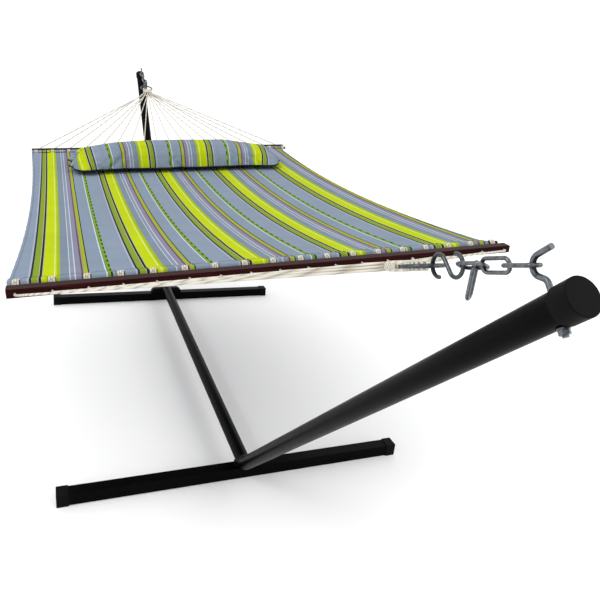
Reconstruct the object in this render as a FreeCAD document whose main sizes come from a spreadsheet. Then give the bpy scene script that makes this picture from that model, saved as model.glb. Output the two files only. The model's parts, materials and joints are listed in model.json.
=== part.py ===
"""Quilted hammock with spreader bars and a bolster pillow, hung on a steel-tube stand.

Axes: X runs along the stand, the front end at +X; Y runs across; Z is up.
Origin: on the floor, midway between the two feet. Units: millimetres and degrees.
"""

import FreeCAD, Part
import math
import os

import Sketcher
from FreeCAD import Placement, Rotation, Vector

X_AXIS = Vector(1, 0, 0)
Y_AXIS = Vector(0, 1, 0)
Z_AXIS = Vector(0, 0, 1)

ENDS = {"front": 1, "rear": -1}
SIDES = {"left": 1, "right": -1}

DRIVING_DIMENSIONS = {
    # Feet: square tubes across the stand, with sleeve caps on their ends.
    "foot_length": 1140,
    "foot_size": 40,
    "foot_wall": 1.6,
    "foot_spacing": 1546,
    "foot_cap_length": 35,
    "cap_wall": 2.0,
    "cap_floor": 3.0,
    "cap_clearance": 0.2,
    "cap_rounding": 1.5,
    # Round tubes: base beam, elbows and arms.
    "tube_diameter": 45,
    "tube_wall": 1.6,
    "elbow_bend": 60,
    "elbow_leg": 110,
    "insert_length": 90,
    "insert_clearance": 0.2,
    "shoulder": 3.0,
    "corner_offset": 32,
    "arm_angle": 43.5,
    "arm_length": 1502,
    "arm_cap_length": 30,
    "arm_cap_wall": 2.3,
    "coupler_length": 200,
    "coupler_bolt_pitch": 120,
    "beam_gap": 0.5,
    # Saddles between the feet and the elbows.
    "front_saddle_length": 44,
    "front_saddle_height": 12,
    "rear_saddle_length": 160,
    "saddle_width": 28,
    "saddle_seat": 3.0,
    "saddle_lip": 0.5,
    "saddle_offset": 2,
    "saddle_bolt_pitch": 45,
    "cradle_clearance": 0.2,
    # Fasteners.
    "bolt_diameter": 8,
    "bolt_clearance": 0.2,
    "bolt_head_size": 13,
    "bolt_head_height": 5.3,
    "nut_height": 6.5,
    "washer_diameter": 17,
    "washer_thickness": 1.6,
    "seat_gap": 0.05,
    "thread_excess": 3,
    "joint_bolt_length": 15,
    "saddle_bolt_length": 17,
    "access_hole": 18,
    # Hook bolts at the arm tips.
    "hook_setback": 39,
    "hook_neck": 8.5,
    "hook_neck_bend": 12,
    "hook_reach": 8,
    "hook_heading": 185,
    "hook_bend": 14,
    "hook_tip_heading": 42,
    "hook_tip": 24,
    # Chain, S-hooks and rings.
    "link_wire": 6,
    "link_inner_length": 48,
    "link_inner_width": 13,
    "wire_gap": 0.3,
    "hang_gap": 1.3,
    "s_hook_wire": 6.5,
    "s_hook_length": 82,
    "s_hook_bend": 17,
    "s_hook_opening": 93,
    "ring_wire": 7,
    "ring_diameter": 71,
    "spare_link_setback": 21,
    "spare_link_yaw": 38,
    "spare_link_drop": 2.0,
    # Clew knots and ropes.
    "knot_length": 64,
    "knot_width": 50,
    "knot_height": 19,
    "knot_overlap": 14,
    "rope_diameter": 5,
    "rope_count": 18,
    "rope_rows": 3,
    "rope_row_gap": 0.5,
    "rope_column_gap": 3.3,
    "rope_bend": 10,
    "rope_lead": 9,
    # Spreader bars, hem dowels, bed and pillow.
    "bar_length": 1269,
    "bar_height": 20,
    "bar_depth": 30,
    "bar_rounding": 3,
    "hole_pitch": 72.5,
    "hole_clearance": 1.0,
    "front_bar_reach": 1052,
    "front_bar_level": 837,
    "rear_bar_reach": 848,
    "rear_bar_level": 804,
    "hammock_roll": 3.5,
    "dowel_diameter": 13,
    "dowel_length": 1268,
    "dowel_offset": 42,
    "hem_clearance": 0.4,
    "hem_wall": 3.0,
    "hem_width": 1236,
    "hem_notch": 18,
    "bed_shift": -16,
    "bed_waist": 1204,
    "bed_thickness": 9,
    "bed_edge_sag": 38,
    "bed_middle_sag": 62,
    "pillow_length": 955,
    "pillow_depth": 290,
    "pillow_height": 150,
    "pillow_place": 505,
    "pillow_lift": 45,
    "pillow_gap": 2.0,
}

doc = FreeCAD.newDocument("HammockOnStand")


def make_sheet(dimensions):
    """The driving dimensions, one alias per cell."""
    sheet = doc.addObject("Spreadsheet::Sheet", "Dims")
    for row, (alias, value) in enumerate(dimensions.items(), start=1):
        sheet.set(f"A{row}", alias)
        sheet.set(f"B{row}", str(value))
        sheet.setAlias(f"B{row}", alias)
    doc.recompute()
    return sheet


sheet = make_sheet(DRIVING_DIMENSIONS)


def size(alias):
    return float(getattr(sheet, alias))


# ---------------------------------------------------------------- derived layout

def heading(degrees):
    """Unit vector in the XZ plane, measured from +X towards +Z."""
    angle = math.radians(degrees)
    return Vector(math.cos(angle), 0, math.sin(angle))


TUBE_RADIUS = size("tube_diameter") / 2
BORE_RADIUS = TUBE_RADIUS - size("tube_wall")
INSERT_RADIUS = BORE_RADIUS - size("insert_clearance")
FOOT_BOTTOM = size("cap_wall") + size("cap_clearance")
FOOT_TOP = FOOT_BOTTOM + size("foot_size")
BEAM_LEVEL = FOOT_TOP + size("saddle_seat") + TUBE_RADIUS
BEND_SETBACK = size("elbow_bend") * math.tan(math.radians(size("arm_angle") / 2))
CORNER_REACH = size("foot_spacing") / 2 + size("corner_offset")
ELBOW_MOUTH_REACH = CORNER_REACH - BEND_SETBACK - size("elbow_leg")
ARM_DIRECTION = heading(size("arm_angle"))
ARM_NORMAL = heading(size("arm_angle") + 90)
CORNER = Vector(CORNER_REACH, 0, BEAM_LEVEL)
ARM_TIP = CORNER + ARM_DIRECTION * size("arm_length")
HOOK_CROSSING = ARM_TIP - ARM_DIRECTION * size("hook_setback")
BAR_REACH = {end: size(f"{end}_bar_reach") for end in ENDS}
BAR_LEVEL = {end: size(f"{end}_bar_level") for end in ENDS}
ROLL_LEVEL = (BAR_LEVEL["front"] + BAR_LEVEL["rear"]) / 2
ROLL = Placement(Vector(), Rotation(X_AXIS, size("hammock_roll")), Vector(0, 0, ROLL_LEVEL))
WIRE_STEP = size("link_wire") + size("wire_gap")


def mirrored(point, sign):
    """A point or direction of the front end, taken to the end with this sign."""
    return Vector(point.x * sign, point.y, point.z)


# ---------------------------------------------------------------- small builders

def bind(thing, **expressions):
    for prop, expression in expressions.items():
        thing.setExpression(prop, expression)
    return thing


def aimed(base, direction):
    """Placement that puts local +Z along a direction."""
    return Placement(base, Rotation(Z_AXIS, direction))


def cylinder(name, radius, height, base, direction=Z_AXIS):
    thing = bind(doc.addObject("Part::Cylinder", name), Radius=radius, Height=height)
    thing.Placement = aimed(base, direction)
    return thing


def centred_cylinder(name, radius, height, length, centre, direction):
    """A cylinder with its middle at centre; length is the height as a number."""
    return cylinder(name, radius, height, centre - direction * (length / 2), direction)


def box(name, length, width, height, base):
    thing = bind(doc.addObject("Part::Box", name), Length=length, Width=width, Height=height)
    thing.Placement = Placement(base, Rotation())
    return thing


def hexagon(name, across_flats, height, base, direction):
    thing = doc.addObject("Part::Prism", name)
    thing.Polygon = 6
    bind(thing, Circumradius=f"{across_flats} / 2 / cos(30)", Height=height)
    thing.Placement = aimed(base, direction)
    return thing


def fuse(name, things):
    thing = doc.addObject("Part::MultiFuse", name)
    thing.Shapes = things
    return thing


def cut(name, base, tool):
    thing = doc.addObject("Part::Cut", name)
    thing.Base = base
    thing.Tool = tool
    return thing


def group(name, things):
    thing = doc.addObject("Part::Compound", name)
    thing.Links = things
    return thing


def shaped(name, shape):
    thing = doc.addObject("Part::Feature", name)
    thing.Shape = shape
    return thing


subparts = {}


def subpart(thing, label):
    thing.Label = label
    subparts[label] = thing
    return thing


# ---------------------------------------------------------------- sketches

def origin_plane(body, role):
    return next(f for f in body.Origin.OriginFeatures if f.Role == role)


def new_sketch(body, name, role):
    sketch = body.newObject("Sketcher::SketchObject", name)
    sketch.AttachmentSupport = [(origin_plane(body, role), "")]
    sketch.MapMode = "FlatFace"
    return sketch


def draw_rectangle(sketch, width, height):
    """A rectangle centred on the sketch origin, its two sides bound to expressions."""
    corners = [Vector(-1, -1, 0), Vector(1, -1, 0), Vector(1, 1, 0), Vector(-1, 1, 0)]
    first = sketch.GeometryCount
    for start, stop in zip(corners, corners[1:] + corners[:1]):
        sketch.addGeometry(Part.LineSegment(start, stop), False)
    for side in range(4):
        sketch.addConstraint(
            Sketcher.Constraint("Coincident", first + side, 2, first + (side + 1) % 4, 1)
        )
    for side, kind in enumerate(("Horizontal", "Vertical", "Horizontal", "Vertical")):
        sketch.addConstraint(Sketcher.Constraint(kind, first + side))
    sketch.addConstraint(Sketcher.Constraint("Symmetric", first, 1, first + 2, 1, -1, 1))
    across = sketch.addConstraint(Sketcher.Constraint("DistanceX", first, 1, first, 2, 2.0))
    up = sketch.addConstraint(Sketcher.Constraint("DistanceY", first + 1, 1, first + 1, 2, 2.0))
    sketch.setExpression(f"Constraints[{across}]", width)
    sketch.setExpression(f"Constraints[{up}]", height)


def draw_circle(sketch, radius):
    """A circle on the sketch origin, its radius bound to an expression."""
    circle = sketch.addGeometry(Part.Circle(Vector(), Z_AXIS, 1), False)
    sketch.addConstraint(Sketcher.Constraint("Coincident", circle, 3, -1, 1))
    bound = sketch.addConstraint(Sketcher.Constraint("Radius", circle, 1.0))
    sketch.setExpression(f"Constraints[{bound}]", radius)


def sleeve_cap(name, draw, outer, inner, length, placement):
    """A cap that slips over a tube end: closed at local z = 0, open at the far end."""
    body = doc.addObject("PartDesign::Body", name)
    outline = new_sketch(body, name + "_outline", "XY_Plane")
    draw(outline, *outer)
    pad = body.newObject("PartDesign::Pad", name + "_pad")
    pad.Profile = outline
    bind(pad, Length=length)
    doc.recompute()
    rounding = body.newObject("PartDesign::Fillet", name + "_rounding")
    rounding.Base = (pad, ["Face" + str(face_towards(pad.Shape, -Z_AXIS))])
    bind(rounding, Radius="Dims.cap_rounding")
    hollow = new_sketch(body, name + "_hollow", "XY_Plane")
    hollow.AttachmentOffset = Placement(Vector(0, 0, size("cap_floor")), Rotation())
    hollow.setExpression("AttachmentOffset.Base.z", "Dims.cap_floor")
    draw(hollow, *inner)
    pocket = body.newObject("PartDesign::Pocket", name + "_pocket")
    pocket.Profile = hollow
    pocket.Reversed = True
    bind(pocket, Length=length)
    body.Placement = placement
    return body


def face_towards(shape, direction):
    """Number of the flat face whose outward normal is the direction."""
    for number, face in enumerate(shape.Faces, start=1):
        flat = isinstance(face.Surface, Part.Plane)
        if flat and face.normalAt(0, 0).dot(direction) > 0.999:
            return number
    raise ValueError("no face that way")


# ---------------------------------------------------------------- wires and rods

def planar_wire(start, start_heading, moves):
    """A wire in the XZ plane. A move is (length,) for a straight or (radius, turn) for an arc,
    the turn in degrees and positive to the left."""
    point, angle, edges = start, start_heading, []
    for move in moves:
        if len(move) == 1:
            stop = point + heading(angle) * move[0]
            edges.append(Part.LineSegment(point, stop).toShape())
        else:
            radius, turn = move
            inward = angle + math.copysign(90, turn)
            centre = point + heading(inward) * radius
            middle = centre - heading(inward + turn / 2) * radius
            stop = centre - heading(inward + turn) * radius
            edges.append(Part.Arc(point, middle, stop).toShape())
            angle += turn
        point = stop
    return Part.Wire(edges), point


def rod(wire, diameter, name):
    """A round bar along a wire, its volume checked against section times length."""
    first = wire.OrderedEdges[0]
    start = first.valueAt(first.FirstParameter)
    tangent = first.tangentAt(first.FirstParameter)
    profile = Part.Wire(Part.Circle(start, tangent, diameter / 2).toShape())
    solid = wire.makePipeShell([profile], True, True)
    expected = math.pi * diameter**2 / 4 * wire.Length
    if abs(solid.Volume / expected - 1) > 0.01:
        raise ValueError(f"{name}: swept volume {solid.Volume:.0f}, expected {expected:.0f}")
    return solid


# ---------------------------------------------------------------- feet and saddles

def make_foot(end, sign):
    reach = sign * size("foot_spacing") / 2
    corner = Vector(reach - size("foot_size") / 2, -size("foot_length") / 2, FOOT_BOTTOM)
    outer = box(end + "_foot_outer", "Dims.foot_size", "Dims.foot_length", "Dims.foot_size", corner)
    wall = size("foot_wall")
    inner = box(
        end + "_foot_bore",
        "Dims.foot_size - 2 * Dims.foot_wall",
        "Dims.foot_length",
        "Dims.foot_size - 2 * Dims.foot_wall",
        corner + Vector(wall, 0, wall),
    )
    middle = FOOT_TOP - size("foot_size") / 2
    holes = []
    for number, bolt in enumerate(foot_bolt_places(end, sign)):
        base = Vector(bolt.x, bolt.y, middle)
        name = f"{end}_foot_hole_{number}"
        holes.append(cylinder(name, HOLE_RADIUS, "Dims.foot_size", base))
        access = f"{end}_foot_access_{number}"
        holes.append(cylinder(access, "Dims.access_hole / 2", "Dims.foot_size", base, -Z_AXIS))
    subpart(cut(end + "_foot_tube", outer, fuse(end + "_foot_cuts", [inner] + holes)), end + "_foot")


def make_foot_caps(end, sign):
    across = "Dims.foot_size + 2 * Dims.cap_clearance + 2 * Dims.cap_wall"
    bore = "Dims.foot_size + 2 * Dims.cap_clearance"
    for side, way in SIDES.items():
        label = f"{end}_foot_cap_{side}"
        base = Vector(
            sign * size("foot_spacing") / 2,
            way * (size("foot_length") / 2 + size("cap_floor")),
            FOOT_BOTTOM + size("foot_size") / 2,
        )
        cap = sleeve_cap(
            label + "_body",
            draw_rectangle,
            (across, across),
            (bore, bore),
            "Dims.foot_cap_length",
            aimed(base, Y_AXIS * -way),
        )
        subpart(cap, label)


SADDLE_BOLTS = {"front": (0,), "rear": (-1, 0, 1)}


def saddle_corner(end, sign):
    reach = sign * (size("foot_spacing") / 2 - size("saddle_offset"))
    return Vector(reach - size("saddle_width") / 2, -size(end + "_saddle_length") / 2, FOOT_TOP)


def foot_bolt_places(end, sign):
    """The bolt under the elbow, and the two more that hold the wide rear saddle."""
    centre = Vector(sign * size("foot_spacing") / 2, 0, FOOT_TOP)
    return [centre + Y_AXIS * (way * size("saddle_bolt_pitch")) for way in SADDLE_BOLTS[end]]


def saddle_cradle(end, sign):
    reach = sign * size("foot_spacing") / 2
    return centred_cylinder(
        end + "_saddle_cradle",
        "Dims.tube_diameter / 2 + Dims.cradle_clearance",
        "4 * Dims.saddle_width",
        4 * size("saddle_width"),
        Vector(reach, 0, BEAM_LEVEL),
        X_AXIS,
    )


def make_front_saddle():
    """A short moulded cradle, no wider than the elbow that lies in it."""
    corner = saddle_corner("front", 1)
    block = box(
        "front_saddle_block",
        "Dims.saddle_width",
        "Dims.front_saddle_length",
        "Dims.front_saddle_height",
        corner,
    )
    hole = foot_hole_through_saddle("front", 1)
    tools = fuse("front_saddle_cuts", [saddle_cradle("front", 1)] + hole)
    subpart(cut("front_saddle_moulding", block, tools), "front_saddle")


def foot_hole_through_saddle(end, sign):
    return [
        cylinder(
            f"{end}_saddle_hole_{number}",
            HOLE_RADIUS,
            "Dims.saddle_bolt_length",
            place - Z_AXIS,
        )
        for number, place in enumerate(foot_bolt_places(end, sign))
    ]


def make_rear_saddle():
    """A wide moulded saddle with round shoulders and a half-round cradle."""
    corner = saddle_corner("rear", -1)
    height = "Dims.saddle_seat + Dims.tube_diameter / 2"
    block = box("rear_saddle_block", "Dims.saddle_width", "Dims.rear_saddle_length", height, corner)
    doc.recompute()
    rounding = size("saddle_seat") + TUBE_RADIUS - size("saddle_lip")
    top = corner.z + rounding
    shoulders = [
        (number, rounding, rounding)
        for number, edge in enumerate(block.Shape.Edges, start=1)
        if edge.BoundBox.ZMin > top - 1 and edge.BoundBox.YLength < 1
    ]
    rounded = doc.addObject("Part::Fillet", "rear_saddle_shoulders")
    rounded.Base = block
    rounded.Edges = shoulders
    tools = fuse(
        "rear_saddle_cuts",
        [saddle_cradle("rear", -1)] + foot_hole_through_saddle("rear", -1),
    )
    subpart(cut("rear_saddle_moulding", rounded, tools), "rear_saddle")


# ---------------------------------------------------------------- round tubes

HOLE_RADIUS = "Dims.bolt_diameter / 2 + Dims.bolt_clearance"
OUTER_RADIUS = "Dims.tube_diameter / 2"
INNER_RADIUS = "Dims.tube_diameter / 2 - Dims.tube_wall"
PLUG_RADIUS = "Dims.tube_diameter / 2 - Dims.tube_wall - Dims.insert_clearance"


def cross_hole(name, centre, direction):
    """A hole right through a tube."""
    return centred_cylinder(
        name, HOLE_RADIUS, "2 * Dims.tube_diameter", 2 * size("tube_diameter"), centre, direction
    )


def wall_hole(name, place):
    """A hole through one side of a tube, at a (centre, outward direction) pair."""
    return cylinder(name, HOLE_RADIUS, "Dims.tube_diameter", *place)


def joint_bolt_places(sign):
    """The two bolts that hold an elbow to its beam and its arm."""
    depth = size("insert_length") / 2
    on_beam = Vector(sign * (ELBOW_MOUTH_REACH + depth), 0, BEAM_LEVEL)
    arm_joint = CORNER + ARM_DIRECTION * (BEND_SETBACK + size("elbow_leg") - depth)
    return [(on_beam, -Z_AXIS), (mirrored(arm_joint, sign), Y_AXIS)]


def elbow_solid(name, sign, radius):
    """Two straight legs joined by a bend, as one solid of this radius."""
    bend_start = Vector(sign * (CORNER_REACH - BEND_SETBACK), 0, BEAM_LEVEL)
    bend_stop = mirrored(CORNER + ARM_DIRECTION * BEND_SETBACK, sign)
    beam_leg = cylinder(name + "_beam_leg", radius, "Dims.elbow_leg", bend_start, X_AXIS * -sign)
    arm_leg = cylinder(
        name + "_arm_leg", radius, "Dims.elbow_leg", bend_stop, mirrored(ARM_DIRECTION, sign)
    )
    bend = doc.addObject("Part::Torus", name + "_bend")
    bind(bend, Radius1="Dims.elbow_bend", Radius2=radius, Angle3="Dims.arm_angle")
    turn = Rotation(-Z_AXIS, X_AXIS * sign, Y_AXIS * -sign, "ZXY")
    bend.Placement = Placement(bend_start + Z_AXIS * size("elbow_bend"), turn)
    return fuse(name, [beam_leg, bend, arm_leg])


def make_elbow(end, sign):
    outside = elbow_solid(end + "_elbow_outside", sign, OUTER_RADIUS)
    inside = elbow_solid(end + "_elbow_inside", sign, INNER_RADIUS)
    holes = [
        wall_hole(f"{end}_elbow_hole_{number}", place)
        for number, place in enumerate(joint_bolt_places(sign))
    ]
    holes.append(
        cylinder(
            end + "_elbow_foot_hole",
            HOLE_RADIUS,
            "Dims.saddle_bolt_length",
            Vector(sign * size("foot_spacing") / 2, 0, FOOT_TOP),
        )
    )
    tools = fuse(end + "_elbow_cuts", [inside] + holes)
    subpart(cut(end + "_elbow_tube", outside, tools), end + "_elbow")


def plugged_tube(name, mouth, direction, length, length_expression, holes):
    """A tube whose first stretch is reduced to slip into the tube before its mouth."""
    body = cylinder(name + "_body", OUTER_RADIUS, length_expression, mouth, direction)
    plug_start = mouth - direction * size("insert_length")
    plug_length = "Dims.insert_length + Dims.shoulder"
    plug = cylinder(name + "_plug", PLUG_RADIUS, plug_length, plug_start, direction)
    bore = cylinder(
        name + "_bore", INNER_RADIUS, length_expression, mouth + direction * size("shoulder"), direction
    )
    plug_bore = cylinder(
        name + "_plug_bore", PLUG_RADIUS + " - Dims.tube_wall", plug_length, plug_start, direction
    )
    tools = fuse(name + "_cuts", [bore, plug_bore] + holes)
    return cut(name, fuse(name + "_whole", [body, plug]), tools)


def make_arm(end, sign):
    direction = mirrored(ARM_DIRECTION, sign)
    mouth = mirrored(CORNER, sign) + direction * (BEND_SETBACK + size("elbow_leg"))
    length = "Dims.arm_length - Dims.elbow_leg - Dims.elbow_bend * tan(Dims.arm_angle / 2)"
    holes = [
        wall_hole(end + "_arm_joint_hole", joint_bolt_places(sign)[1]),
        cross_hole(end + "_arm_hook_hole", mirrored(HOOK_CROSSING, sign), mirrored(ARM_NORMAL, sign)),
    ]
    tube = plugged_tube(end + "_arm_tube", mouth, direction, size("arm_length"), length, holes)
    subpart(tube, end + "_arm")


def make_arm_cap(end, sign):
    direction = mirrored(ARM_DIRECTION, sign)
    base = mirrored(ARM_TIP, sign) + direction * size("cap_floor")
    inner = "Dims.tube_diameter / 2 + Dims.cap_clearance"
    cap = sleeve_cap(
        end + "_arm_cap_body",
        draw_circle,
        (inner + " + Dims.arm_cap_wall",),
        (inner,),
        "Dims.arm_cap_length",
        aimed(base, -direction),
    )
    subpart(cap, end + "_arm_cap")


def coupler_bolt_place(sign):
    return Vector(sign * size("coupler_bolt_pitch") / 2, 0, BEAM_LEVEL), -Z_AXIS


def make_beam(end, sign):
    mouth = Vector(sign * ELBOW_MOUTH_REACH, 0, BEAM_LEVEL)
    length = (
        "Dims.foot_spacing / 2 + Dims.corner_offset - Dims.elbow_leg"
        " - Dims.elbow_bend * tan(Dims.arm_angle / 2) - Dims.beam_gap / 2"
    )
    holes = [
        wall_hole(end + "_beam_elbow_hole", joint_bolt_places(sign)[0]),
        wall_hole(end + "_beam_coupler_hole", coupler_bolt_place(sign)),
    ]
    tube = plugged_tube(
        end + "_beam_tube", mouth, X_AXIS * -sign, ELBOW_MOUTH_REACH, length, holes
    )
    subpart(tube, end + "_base_beam")


def make_beam_coupler():
    start = Vector(-size("coupler_length") / 2, 0, BEAM_LEVEL)
    outer = cylinder("coupler_outer", PLUG_RADIUS, "Dims.coupler_length", start, X_AXIS)
    bore = cylinder(
        "coupler_bore", PLUG_RADIUS + " - Dims.tube_wall", "Dims.coupler_length", start, X_AXIS
    )
    holes = [
        wall_hole(f"coupler_hole_{end}", coupler_bolt_place(sign)) for end, sign in ENDS.items()
    ]
    subpart(cut("coupler_tube", outer, fuse("coupler_cuts", [bore] + holes)), "beam_coupler")


# ---------------------------------------------------------------- fasteners

def hex_bolt(name, seat, direction, length):
    """A bolt whose head bears at seat, its shank running along direction."""
    head = hexagon(
        name + "_head", "Dims.bolt_head_size", "Dims.bolt_head_height", seat, -direction
    )
    shank = cylinder(name + "_shank", "Dims.bolt_diameter / 2", length, seat, direction)
    return fuse(name, [head, shank])


def hex_nut(name, seat, direction):
    """A nut that bears at seat and stands away from it along direction."""
    block = hexagon(name + "_block", "Dims.bolt_head_size", "Dims.nut_height", seat, direction)
    bore = cylinder(
        name + "_bore", "Dims.bolt_diameter / 2 + Dims.seat_gap", "Dims.nut_height", seat, direction
    )
    return cut(name, block, bore)


def captive_seat(bore_radius):
    """How far from a tube's axis a nut's corners meet the inside of its bore."""
    return math.sqrt(bore_radius**2 - size("bolt_head_size") ** 2 / 3) - size("seat_gap")


def make_joint_bolts(prefix, places):
    """Bolts through one side of two nested tubes, into nuts held inside the inner one."""
    seat = TUBE_RADIUS + size("seat_gap")
    captive = captive_seat(INSERT_RADIUS - size("tube_wall"))
    bolts = [
        hex_bolt(f"{prefix}_bolt_{number}", place + outward * seat, -outward, "Dims.joint_bolt_length")
        for number, (place, outward) in enumerate(places)
    ]
    nuts = [
        hex_nut(f"{prefix}_nut_{number}", place + outward * captive, -outward)
        for number, (place, outward) in enumerate(places)
    ]
    subpart(group(prefix + "_bolt_set", bolts), prefix + "_bolts")
    subpart(group(prefix + "_nut_set", nuts), prefix + "_nuts")


def make_foot_bolts(end, sign):
    """Bolts up through the foot's top wall; the middle one ends in a nut inside the elbow."""
    head_level = size("foot_wall") + size("seat_gap")
    places = foot_bolt_places(end, sign)
    bolts = [
        hex_bolt(
            f"{end}_foot_bolt_{number}",
            place - Z_AXIS * head_level,
            Z_AXIS,
            "Dims.saddle_bolt_length",
        )
        for number, place in enumerate(places)
    ]
    subpart(group(end + "_foot_bolt_set", bolts), end + "_foot_bolts")
    nut_seat = Vector(sign * size("foot_spacing") / 2, 0, BEAM_LEVEL - captive_seat(BORE_RADIUS))
    subpart(hex_nut(end + "_foot_nut_block", nut_seat, Z_AXIS), end + "_foot_nut")


# ---------------------------------------------------------------- hook bolts

def hook_wire():
    """Centre line of the front hook bolt, and the centre of its open hook."""
    below = TUBE_RADIUS + 2 * size("seat_gap") + size("washer_thickness")
    shank_below = below + size("nut_height") + size("thread_excess")
    shank = shank_below + TUBE_RADIUS + size("hook_neck")
    start = HOOK_CROSSING - ARM_NORMAL * shank_below
    shank_heading = size("arm_angle") + 90
    approach = [
        (shank,),
        (size("hook_neck_bend"), size("hook_heading") - shank_heading),
        (size("hook_reach"),),
    ]
    open_hook = [
        (size("hook_bend"), size("hook_tip_heading") - size("hook_heading")),
        (size("hook_tip"),),
    ]
    mouth = planar_wire(start, shank_heading, approach)[1]
    centre = mouth + heading(size("hook_heading") - 90) * size("hook_bend")
    return planar_wire(start, shank_heading, approach + open_hook)[0], centre


HOOK_WIRE, HOOK_CENTRE = hook_wire()


def make_hook(end, sign):
    bolt = rod(HOOK_WIRE, size("bolt_diameter"), end + "_hook_bolt")
    if sign < 0:
        bolt = bolt.mirror(Vector(), X_AXIS)
    subpart(shaped(end + "_hook_rod", bolt), end + "_hook_bolt")
    outward = mirrored(ARM_NORMAL, sign) * -1
    seat = mirrored(HOOK_CROSSING, sign) + outward * (TUBE_RADIUS + size("seat_gap"))
    disc = cylinder(
        end + "_hook_disc", "Dims.washer_diameter / 2", "Dims.washer_thickness", seat, outward
    )
    hole = cylinder(
        end + "_hook_disc_hole", HOLE_RADIUS, "Dims.washer_thickness", seat, outward
    )
    subpart(cut(end + "_hook_disc_ring", disc, hole), end + "_hook_washer")
    nut_seat = seat + outward * (size("washer_thickness") + size("seat_gap"))
    subpart(hex_nut(end + "_hook_nut_block", nut_seat, outward), end + "_hook_nut")


# ---------------------------------------------------------------- suspension line

def bar_centre(end):
    return Vector(ENDS[end] * BAR_REACH[end], 0, BAR_LEVEL[end])


class Suspension:
    """The straight line of pull from a hook bolt down to the middle of a spreader bar.

    Distances along it start at the bow of the first chain link, inside the hook.
    """

    def __init__(self, end):
        self.end = end
        self.sign = ENDS[end]
        centre = mirrored(HOOK_CENTRE, self.sign)
        down = bar_centre(end) - centre
        self.along = Vector(down).normalize()
        self.up = Vector(-self.along.z * self.sign, 0, self.along.x * self.sign) * -1
        rod_and_wire = (size("bolt_diameter") + size("link_wire")) / 2 + size("hang_gap")
        self.start = centre + self.along * (size("hook_bend") - rod_and_wire)
        self.slope = math.degrees(math.atan2(-self.along.z, abs(self.along.x)))
        self.bow_span = size("link_inner_length") + size("link_wire")
        link_step = self.bow_span - WIRE_STEP
        self.link_starts = [number * link_step for number in range(3)]
        last_bow = self.link_starts[-1] + self.bow_span
        self.s_hook_start = last_bow - rod_spacing("link_wire", "s_hook_wire")
        s_hook_span = size("s_hook_length") - size("s_hook_wire")
        s_hook_stop = self.s_hook_start + s_hook_span
        self.ring_start = s_hook_stop - rod_spacing("s_hook_wire", "ring_wire")
        self.ring_centre = self.ring_start + (size("ring_diameter") - size("ring_wire")) / 2
        ring_stop = self.ring_centre + (size("ring_diameter") - size("ring_wire")) / 2
        self.knot_start = ring_stop - size("knot_overlap")
        self.knot_stop = self.knot_start + size("knot_length")

    def point(self, distance, across=0, up=0):
        return self.start + self.along * distance + Y_AXIS * across + self.up * up

    def frame(self, distance, roll=0):
        """Placement with local X up the line towards the hook, local Z up, turned about the line."""
        towards_hook = self.along * -1
        side = self.up.cross(towards_hook)
        turn = Rotation(towards_hook, side, self.up, "XZY")
        return Placement(self.point(distance), Rotation(towards_hook, roll) * turn)


def rod_spacing(first, second):
    """Distance between the centre lines of two bars that hook into each other."""
    return (size(first) + size(second)) / 2 + size("wire_gap")


def link_solid(name):
    """A chain link in the XZ plane: its near bow at the origin, its far bow at negative X."""
    bend = (size("link_inner_width") + size("link_wire")) / 2
    straight = size("link_inner_length") + size("link_wire") - 2 * bend
    moves = [(straight,), (bend, 180), (straight,), (bend, 180)]
    wire = planar_wire(Vector(-bend, 0, bend), 180, moves)[0]
    return rod(wire, size("link_wire"), name)


LINK_ROLLS = (90, 8, 68)


def make_chain(line):
    for number, (start, roll) in enumerate(zip(line.link_starts, LINK_ROLLS), start=1):
        label = f"{line.end}_chain_link_{number}"
        link = shaped(label + "_wire", link_solid(label))
        link.Placement = line.frame(start, roll * line.sign)
        subpart(link, label)


def spare_link_pivot(line):
    """Where the spare link hangs: on the lower leg of the last chain link."""
    half_width = (size("link_inner_width") + size("link_wire")) / 2
    distance = line.link_starts[-1] + line.bow_span - size("spare_link_setback")
    frame = line.frame(distance, LINK_ROLLS[-1] * line.sign)
    leg = frame.multVec(Vector(0, 0, -half_width))
    return leg


def make_spare_link(line):
    """The chain's last, unused link, hanging straight down."""
    label = f"{line.end}_spare_link"
    upright = Rotation(Z_AXIS, 90) * Rotation(Y_AXIS, -90)
    yaw = Rotation(Z_AXIS, size("spare_link_yaw") * line.sign)
    link = shaped(label + "_wire", link_solid(label))
    top = spare_link_pivot(line) + Z_AXIS * (WIRE_STEP + size("spare_link_drop"))
    link.Placement = Placement(top, yaw * upright)
    subpart(link, label)


def make_s_hook(line):
    """Two open hooks joined by a slanting shank; the hook that holds the chain is at local X = 0."""
    bend = size("s_hook_bend")
    centres = size("s_hook_length") - size("s_hook_wire") - 2 * bend
    slant = math.degrees(math.acos(2 * bend / centres))
    shank = math.sqrt(centres**2 - 4 * bend**2)
    tip_angle = size("s_hook_opening") + 180
    start = Vector(-bend - centres, 0, 0) + heading(tip_angle) * bend
    moves = [(bend, -(tip_angle - slant)), (shank,), (bend, tip_angle - slant)]
    wire = planar_wire(start, tip_angle - 90, moves)[0]
    hook = shaped(f"{line.end}_s_hook_wire", rod(wire, size("s_hook_wire"), "s_hook"))
    hook.Placement = line.frame(line.s_hook_start)
    subpart(hook, f"{line.end}_s_hook")


def make_ring(line):
    ring = doc.addObject("Part::Torus", f"{line.end}_ring_wire")
    bind(ring, Radius1="(Dims.ring_diameter - Dims.ring_wire) / 2", Radius2="Dims.ring_wire / 2")
    ring.Placement = line.frame(line.ring_centre)
    subpart(ring, f"{line.end}_ring")
    return ring


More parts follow.
